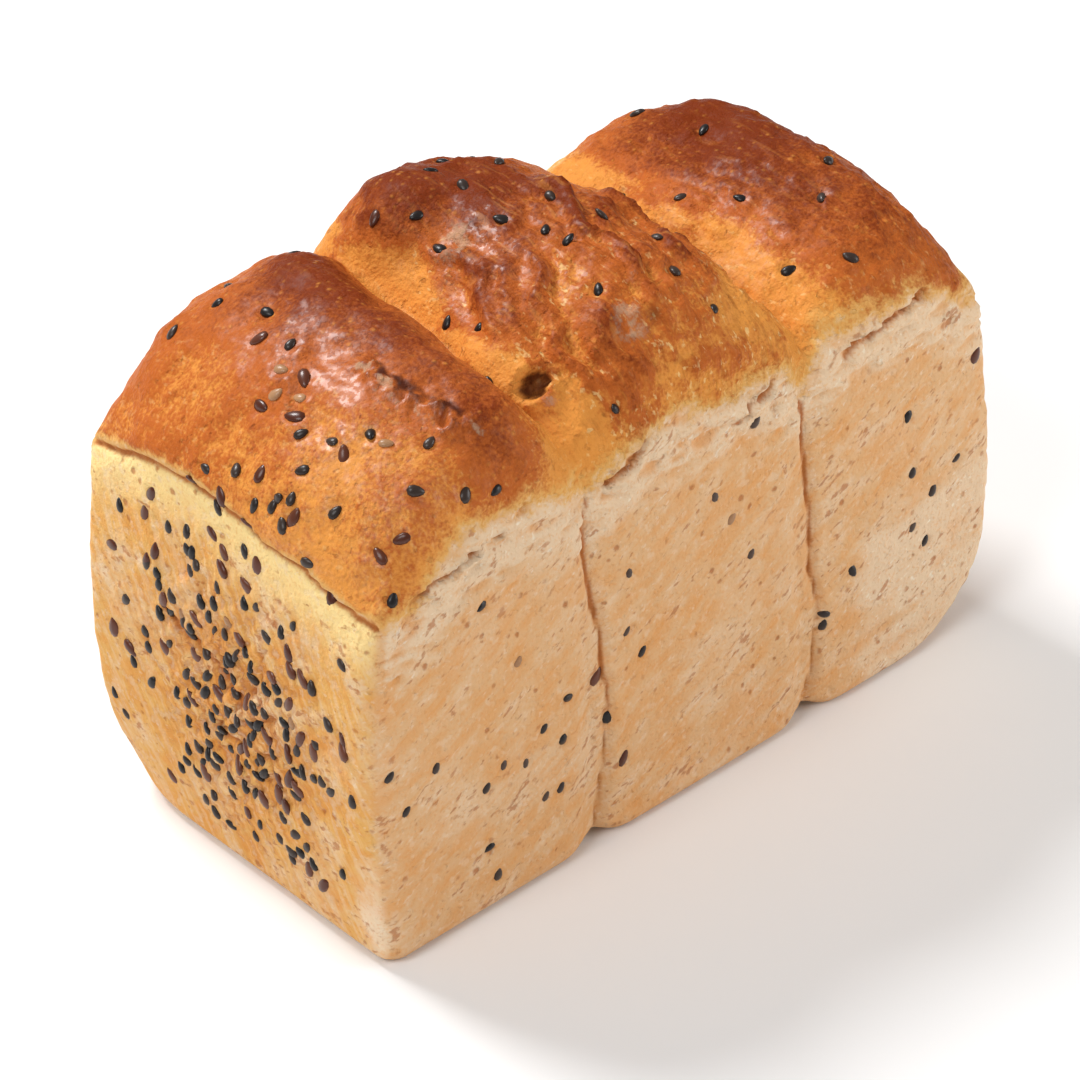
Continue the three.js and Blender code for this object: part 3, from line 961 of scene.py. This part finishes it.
class Nodes:
    """Adds nodes to a tree, each with its settings first and then its values and links."""

    def __init__(self, tree):
        self.tree = tree

    def add(self, kind, settings, values, output=None):
        node = self.tree.nodes.new(kind)
        for name, value in settings.items():
            setattr(node, name, value)
        for slot, value in values.items():
            if isinstance(value, Wire):
                self.tree.links.new(value.socket, node.inputs[slot])
            else:
                node.inputs[slot].default_value = value
        return node if output is None else Wire(self, node.outputs[output])

    def mix(self, share_of_second, first, second):
        values = {0: share_of_second, 6: first, 7: second}
        return self.add("ShaderNodeMix", {"data_type": "RGBA"}, values, 2)

    def paint(self, colour, layers):
        """Tones laid over a colour in turn, each as far as its mask reaches."""
        for mask, tone in layers:
            colour = self.mix(mask, colour, tone)
        return colour

    def attribute(self, name):
        return self.add("ShaderNodeAttribute", {"attribute_name": name}, {}, "Fac")

    def place(self, size, turn=(0, 0, 0)):
        """Object coordinates in units of size, given in millimetres along each axis."""
        here = self.add("ShaderNodeTexCoord", {}, {}, "Object")
        scale = tuple(float(MM * s) for s in np.broadcast_to(size, 3))
        values = {"Vector": here, "Rotation": turn, "Scale": scale}
        return self.add("ShaderNodeMapping", {"vector_type": "TEXTURE"}, values, "Vector")

    def beads(self, size, full, gone, ragged):
        """Ragged dots, one in each cell of a size in millimetres: 1 up to full, 0 from gone."""
        values = {"Vector": self.place(size), "Scale": 1.0}
        distance = self.add("ShaderNodeTexVoronoi", {}, values, "Distance")
        return 1 - (distance + ragged.swing(0.5)).step(full, gone)

    def noise(self, size, detail=2.0, turn=(0, 0, 0)):
        values = {"Vector": self.place(size, turn), "Scale": 1.0, "Detail": detail}
        return self.add("ShaderNodeTexNoise", {}, values, "Fac")


def new_material(name):
    material = bpy.data.materials.new(name)
    material.use_nodes = True
    material.node_tree.nodes.clear()
    return material, Nodes(material.node_tree)


def finish_surface(nodes, values):
    shader = nodes.add("ShaderNodeBsdfPrincipled", {}, values, "BSDF")
    nodes.add("ShaderNodeOutputMaterial", {}, {"Surface": shader})


def solid(settings, name):
    return (*getattr(settings, name), 1.0)


# Patterns on the tin sides rise to one side, and strands on the end lean over, as the dough did
RISING = (0, math.radians(-30), 0)
LEANING = (math.radians(-28), 0, 0)


def crust_patterns(nodes):
    """Patterns that several parts of the crust's finish follow, each from 0 to 1."""
    patches = nodes.noise((11, 9, 5), 4, RISING)
    fine = nodes.noise(2.4, 4)
    crumbs = nodes.noise((2.6, 2.3, 1.2), 5, RISING) + patches.swing(0.8)
    return SimpleNamespace(
        broad=nodes.noise(22, 3),
        patches=patches,
        fine=fine,
        grain=nodes.noise(0.8, 2),
        crumbs=(1 - crumbs).step(0.64, 0.76),
        dots=nodes.beads(4.6, 0.05, 0.20, fine) * nodes.noise(9, 2).step(0.42, 0.56),
        pits=nodes.noise(2.0, 2).step(0.62, 0.74),
        beads=nodes.beads(2.1, 0.02, 0.34, fine) * nodes.noise(6, 2).step(0.42, 0.58),
        folds=nodes.noise((1.5, 7, 5), 3),
    )


def side_colour(nodes, stain, tone, dough):
    """Pale dough that the tin held, with streaks and bran, and stained among the end's seeds."""
    streaks = nodes.noise((9, 7, 1.6), 4, RISING)
    strands = nodes.noise((6, 1.7, 13), 4, LEANING)
    flecks = nodes.noise((3.6, 3.2, 2.0), 5, RISING) + dough.broad.swing(0.35)
    # Painted highlights: whitish glints, brightest on the stretched dough below the crowns
    painted_glints = nodes.noise((2.2, 2.0, 1.2), 3, RISING).step(0.62, 0.70)
    return nodes.paint(tone.tan, (
        (stain.seeded_end, tone.yellow),
        (dough.broad.step(0.45, 0.70) * 0.35, tone.cream),
        (dough.patches.step(0.47, 0.64) * 0.36, tone.gold),
        (streaks.step(0.52, 0.66) * 0.26, tone.gold),
        ((1 - dough.patches).step(0.54, 0.70) * 0.50, tone.cream),
        (stain.torn.step(0.10, 0.70) * 0.85, tone.cream),
        ((stain.raised * -1).step(0.1, 0.9) * 0.55, tone.gold),
        (stain.seeded_end * (strands.step(0.50, 0.62) * 0.35), tone.cream),
        (stain.seeded_end * ((1 - strands).step(0.52, 0.66) * 0.30), tone.gold),
        (stain.seed_crowd * (dough.patches.step(0.42, 0.60) * 0.65), tone.gold),
        (stain.seed_crowd * ((1 - dough.fine).step(0.46, 0.62) * 0.80), tone.bran),
        (stain.seed_crowd * ((1 - strands).step(0.50, 0.60) * 0.50), tone.bran),
        (stain.below_fold * 0.85, tone.band),
        (stain.corner * 0.6, tone.milk_and_glint),
        (dough.grain.step(0.50, 0.72) * 0.30, tone.gold),
        ((1 - dough.fine).step(0.55, 0.68) * 0.35, tone.cream),
        (flecks.step(0.62, 0.74) * 0.55, tone.bran),
        (dough.crumbs * 0.62, tone.bran),
        (dough.dots * 0.7, tone.bran),
        (painted_glints * (0.25 + stain.torn * 0.6), tone.milk_and_glint),
    ))


def crown_colour(nodes, stain, tone, dough):
    """Browned skin, from gold to russet with the bake, with folds, beads and pale specks that are painted
    highlights.
    """
    level = stain.bake + dough.fine.swing(0.50) + dough.grain.swing(0.60) + dough.broad.swing(0.15)
    # Pale specks on the paler skin, most where the skin was drawn: painted highlights
    painted_sparkle = nodes.noise((1.2, 2.4, 2.0), 3).step(0.60, 0.70) * (1 - level.step(0.2, 0.8))
    return nodes.paint(tone.gold, (
        (level.step(0.02, 0.42), tone.orange),
        (level.step(0.42, 1.0), tone.russet),
        (dough.pits * 0.35, tone.russet),
        # Beads are small raised blisters, painted gold as bright specks: partly painted highlights
        (dough.beads * 0.45, tone.gold),
        (stain.drawn * ((1 - dough.folds).step(0.52, 0.66) * 0.28), tone.russet),
        (stain.drawn * (dough.folds.step(0.56, 0.68) * 0.25), tone.gold),
        (painted_sparkle * (0.06 + stain.drawn * 0.42), tone.band),
    ))


def crust_material(colours, stains):
    """The whole crust: its sides, its crowns, and the creases and scorched spots on both, with painted
    shade in the pits, the burst ridge's cut and the hole, and painted glints on the burst ridge.
    """
    material, nodes = new_material("loaf_crust")
    stain = SimpleNamespace(**{name: nodes.attribute(name) for name in stains})
    tone = SimpleNamespace(**{name: solid(colours, name) for name in CrustColours.__annotations__})
    dough = crust_patterns(nodes)
    fine, grain = dough.fine, dough.grain
    frayed = fine.swing(0.6) + grain.swing(0.4) + dough.patches.swing(0.6)
    edge = (stain.crown + frayed).step(0.08, 0.92)
    # Pale dry skin, and painted glints on the burst ridge; the coat stays off both
    dry = (stain.flake + fine.swing(0.7) + grain.swing(0.7)).step(0.25, 0.75)
    colour = nodes.paint(side_colour(nodes, stain, tone, dough), (
        (edge.step(0.0, 0.5), tone.yellow),
        (edge.step(0.2, 1.0), crown_colour(nodes, stain, tone, dough)),
        # Brown creases and scorch, with painted shade in the pits, the burst ridge's cut and the hole
        ((stain.crease + grain.swing(0.3)).step(0.15, 0.80) * 0.9, tone.bran),
        ((stain.scorch_and_shade + fine.swing(0.4)).step(0.15, 0.8), tone.scorch_and_shade),
        (dry * 0.65, tone.skin),
    ))
    relief = grain * 0.6 + fine * 1.1 - dough.pits * 0.3 + dough.beads * edge * 0.4
    relief = relief - (dough.dots * 0.4 + dough.crumbs * 0.15) * (1 - edge)
    relief = relief + dough.folds * stain.drawn * edge * 1.6
    bump = nodes.add("ShaderNodeBump", {}, {"Strength": 0.9, "Distance": 0.6 * MM, "Height": relief},
                     "Normal")
    specks = nodes.noise(1.1, 2) + fine.swing(0.4) + (dough.folds - 0.5) * stain.drawn
    gloss = specks.step(0.46, 0.60) * (0.75 + stain.drawn * 0.30) + (0.48 - stain.drawn * 0.24)
    finish_surface(nodes, {
        "Base Color": colour,
        "Roughness": 0.58 - edge * 0.14 + fine.swing(0.30),
        "Specular IOR Level": 0.04,
        "Coat Weight": edge * stain.shine * (1 - dry) * gloss,
        "Coat Roughness": 0.39,
        "Normal": bump,
    })
    return material


def seed_material(name, skin, sheen):
    """A seed's skin, redder and paler where dough dust clings to it."""
    material, nodes = new_material(name)
    dusty = tuple(1.5 * c + dust for c, dust in zip(skin, (0.055, 0.030, 0.018)))
    finish_surface(nodes, {
        "Base Color": nodes.mix(nodes.attribute("tint"), skin, (*dusty, 1.0)),
        "Roughness": 0.34,
        "Specular IOR Level": 0.3,
        "Coat Weight": sheen,
        "Coat Roughness": 0.2,
    })
    return material


def seed_tree():
    """A tree that lays a seed on each point, facing out of the crust."""
    tree = bpy.data.node_groups.new("lay_seeds", "GeometryNodeTree")
    face = tree.interface
    face.new_socket("Geometry", in_out="INPUT", socket_type="NodeSocketGeometry")
    for name in ("Length", "Width", "Thickness", "Taper"):
        face.new_socket(name, in_out="INPUT", socket_type="NodeSocketFloat")
    face.new_socket("Material", in_out="INPUT", socket_type="NodeSocketMaterial")
    face.new_socket("Geometry", in_out="OUTPUT", socket_type="NodeSocketGeometry")
    nodes = Nodes(tree)
    given = nodes.add("NodeGroupInput", {}, {})
    source = {s.name: Wire(nodes, s) for s in given.outputs if s.name}

    ball = nodes.add("GeometryNodeMeshUVSphere", {}, {"Segments": 10, "Rings": 6, "Radius": 0.5}, "Mesh")
    here = nodes.add("GeometryNodeInputPosition", {}, {}, "Position")
    split = nodes.add("ShaderNodeSeparateXYZ", {}, {"Vector": here})
    along, across, up = (Wire(nodes, s) for s in split.outputs)
    narrow = along * source["Taper"] * -1
    pull = nodes.add("ShaderNodeCombineXYZ", {}, {"Y": narrow * across, "Z": narrow * up * 0.5}, "Vector")
    shape = nodes.add("GeometryNodeSetPosition", {}, {"Geometry": ball, "Offset": pull}, "Geometry")

    facing, heading, size = (
        nodes.add("GeometryNodeInputNamedAttribute", {"data_type": kind}, {"Name": name}, "Attribute")
        for name, kind in (("facing", "FLOAT_VECTOR"), ("heading", "FLOAT_VECTOR"), ("size", "FLOAT"))
    )
    turn = nodes.add("FunctionNodeAxesToRotation", {"primary_axis": "Z", "secondary_axis": "X"},
                     {0: facing, 1: heading}, 0)
    scale = nodes.add("ShaderNodeCombineXYZ", {}, {
        "X": source["Length"] * size,
        "Y": source["Width"] * size,
        "Z": source["Thickness"] * size,
    }, "Vector")
    laid = nodes.add("GeometryNodeInstanceOnPoints", {}, {
        "Points": source["Geometry"],
        "Instance": shape,
        "Rotation": turn,
        "Scale": scale,
    }, "Instances")
    real = nodes.add("GeometryNodeRealizeInstances", {}, {"Geometry": laid}, "Geometry")
    smooth = nodes.add("GeometryNodeSetShadeSmooth", {}, {"Geometry": real}, "Geometry")
    done = nodes.add("GeometryNodeSetMaterial", {}, {"Geometry": smooth, "Material": source["Material"]},
                     "Geometry")
    nodes.add("NodeGroupOutput", {}, {"Geometry": done})
    return tree


def lay(name, seeds, size, taper, tree, material, draw):
    """A mesh of one kind of seed, from the places they lie at."""
    places, facing, heading, dusty = (np.array(column) for column in zip(*seeds))
    facing = facing + draw.normal(0, SEED_TILT, (len(seeds), 3))
    grown = draw.uniform(*SEED_GROWTH, len(seeds))
    on_wall = np.abs(facing[:, 2]) < 0.6
    sunk = SEED_SINK[0] + SEED_SINK[1] * on_wall + SEED_SINK[2] * dusty
    places = places + facing * ((0.5 - sunk) * size[2] * grown)[:, None]
    points = build_mesh(name, places, np.zeros((0, 3), int), {
        "facing": facing,
        "heading": heading,
        "size": grown,
        "tint": np.maximum(0.6 * draw.uniform(0, 1, len(seeds)) ** 2, dusty),
    })
    piece = link(name, points)
    modifier = piece.modifiers.new("lay_seeds", "NODES")
    modifier.node_group = tree
    given = {"Length": size[0] * MM, "Width": size[1] * MM, "Thickness": size[2] * MM,
             "Taper": taper, "Material": material}
    for socket in tree.interface.items_tree:
        if socket.in_out == "INPUT" and socket.name in given:
            modifier[socket.identifier] = given[socket.name]
    graph = bpy.context.evaluated_depsgraph_get()
    mesh = bpy.data.meshes.new_from_object(piece.evaluated_get(graph))
    mesh.name = name
    piece.modifiers.clear()
    piece.data = mesh
    return piece


# ---------------------------------------------------------------- operators


class LOAF_OT_bake_crust(bpy.types.Operator):
    """Bakes the crust, with its crowns, seams, tears and blisters"""

    bl_idname = "loaf.bake_crust"
    bl_label = "Bake the crust"

    def execute(self, context):
        settings = context.scene
        pressed = [
            np.mean([v.co for v in node.data.vertices], axis=0) / MM
            for name, node in sorted(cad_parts.items())
            if name != "loaf"
        ]
        pressed += list(loose_places(Loaf(settings.loaf_sizes)))
        points, quads, stains = bake_crust(settings.loaf_sizes, settings.loaf_relief, pressed)
        mesh = build_mesh("loaf_crust", points, quads, stains)
        mesh.shade_smooth()
        mesh.materials.append(crust_material(settings.loaf_colours, stains))
        piece = link("loaf_crust", mesh)
        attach(piece, BODY)
        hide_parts("loaf")
        return {"FINISHED"}


class LOAF_OT_lay_seeds(bpy.types.Operator):
    """Lays the seeds on the baked crust"""

    bl_idname = "loaf.lay_seeds"
    bl_label = "Lay the seeds"

    def execute(self, context):
        settings = context.scene.loaf_seeds
        crust = Crust(bpy.data.objects["loaf_crust"])
        draw = np.random.default_rng(DRAWS["seeds"])
        tree = seed_tree()
        crowd = end_crowd(crust, settings.end_crowd, draw)
        of_crowd = {
            "black_sesame": crowd[::4] + crowd[1::4] + crowd[2::4],
            "linseed": crowd[3::4],
            "white_sesame": [],
        }
        seeds = {
            kind: part_seeds(kind, crust) + loose_seeds(kind, crust, draw) + of_crowd[kind]
            for kind in LOOSE_SEEDS
        }
        for kind, shape, taper, skin, sheen in SEED_KINDS:
            material = seed_material(kind, solid(settings, skin), sheen)
            size = np.array(getattr(settings, shape)) / MM
            piece = lay(kind + "_seeds", seeds[kind], size, taper, tree, material, draw)
            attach(piece, BODY)
            nodes = nodes_of(kind)
            if nodes:
                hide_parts(*nodes)
        return {"FINISHED"}


# Lights, as name, place (m), size (m) and power (W)
LIGHTS = (
    ("key", (-1.05, -0.25, 1.15), 0.75, 9.5),
    ("sky", (-0.15, 0.95, 1.25), 0.5, 20),
    ("fill", (0.62, -0.62, 0.35), 0.5, 3.3),
)
# What the lights and the camera aim at (m), and how far left of it and below it the middle of the
# camera's view falls, over the camera's distance
AIM = (0, 0, 0.06)
LOOK_LEFT = 0.00136
LOOK_BELOW = 0.01585
# The floor's corners, and how far it lies below the loaf (mm)
FLOOR = ((-6000, -6000), (6000, -6000), (6000, 6000), (-6000, 6000))
FLOOR_DROP = 0.2


class LOAF_OT_set_stage(bpy.types.Operator):
    """Sets the floor, the lights and the camera"""

    bl_idname = "loaf.set_stage"
    bl_label = "Set the stage"

    def execute(self, context):
        settings = context.scene.loaf_stage
        self.lay_floor(settings)
        self.hang_lights(context.scene, settings)
        self.stand_camera(context.scene, settings)
        return {"FINISHED"}

    def lay_floor(self, settings):
        corners = np.array([(x, y, -FLOOR_DROP) for x, y in FLOOR])
        mesh = build_mesh("floor", corners, np.array([[0, 1, 2, 3]]))
        material, nodes = new_material("floor")
        finish_surface(nodes, {"Base Color": solid(settings, "floor"), "Roughness": 0.9})
        mesh.materials.append(material)
        link("floor", mesh)

    def hang_lights(self, scene, settings):
        scene.world = bpy.data.worlds.new("soft_room")
        scene.world.use_nodes = True
        room = scene.world.node_tree.nodes["Background"].inputs
        room["Color"].default_value = (1, 1, 1, 1)
        room["Strength"].default_value = settings.room_light
        scene.view_settings.view_transform = "Standard"
        for name, at, size, power in LIGHTS:
            light = bpy.data.lights.new(name, "AREA")
            light.shape = "DISK"
            light.size = size
            light.energy = power
            lamp = link(name, light)
            lamp.location = at
            lamp.rotation_euler = (Vector(AIM) - Vector(at)).to_track_quat("-Z", "Y").to_euler()

    def stand_camera(self, scene, settings):
        azimuth, elevation = settings.azimuth, settings.elevation
        back = Vector((math.sin(azimuth) * math.cos(elevation),
                       -math.cos(azimuth) * math.cos(elevation), math.sin(elevation)))
        right = Vector((math.cos(azimuth), math.sin(azimuth), 0))
        tilt = Matrix.Rotation(settings.roll, 3, back)
        right, up = tilt @ right, tilt @ back.cross(right)
        forward = (-back - right * LOOK_LEFT - up * LOOK_BELOW).normalized()
        right = (right - forward * right.dot(forward)).normalized()
        turn = Matrix((right, right.cross(forward), -forward)).transposed().to_4x4()
        camera = bpy.data.cameras.new("camera")
        camera.lens = settings.lens
        camera.clip_end = 50
        scene.camera = link("camera", camera)
        scene.camera.matrix_world = Matrix.Translation(Vector(AIM) + back * settings.distance) @ turn


class LOAF_PT_bench(bpy.types.Panel):
    """Steps and settings of the loaf"""

    bl_label = "Seeded tin loaf"
    bl_idname = "LOAF_PT_bench"
    bl_space_type = "VIEW_3D"
    bl_region_type = "UI"
    bl_category = "Loaf"

    def draw(self, context):
        for operator in OPERATORS:
            self.layout.operator(operator.bl_idname)
        for name in SETTINGS:
            group = getattr(context.scene, name)
            box = self.layout.box()
            for key in group.__annotations__:
                box.prop(group, key)


OPERATORS = (LOAF_OT_bake_crust, LOAF_OT_lay_seeds, LOAF_OT_set_stage)
SETTINGS = {
    "loaf_sizes": LoafSizes,
    "loaf_relief": CrustRelief,
    "loaf_colours": CrustColours,
    "loaf_seeds": SeedSettings,
    "loaf_stage": StageSettings,
}


def register():
    for item in (*SETTINGS.values(), *OPERATORS, LOAF_PT_bench):
        bpy.utils.register_class(item)
    for name, group in SETTINGS.items():
        setattr(bpy.types.Scene, name, PointerProperty(type=group))


def unregister():
    for name in SETTINGS:
        delattr(bpy.types.Scene, name)
    for item in (LOAF_PT_bench, *reversed(OPERATORS), *reversed(SETTINGS.values())):
        bpy.utils.unregister_class(item)


def main():
    register()
    bpy.ops.loaf.bake_crust()
    bpy.ops.loaf.lay_seeds()
    bpy.ops.loaf.set_stage()


if __name__ == "__main__":
    main()
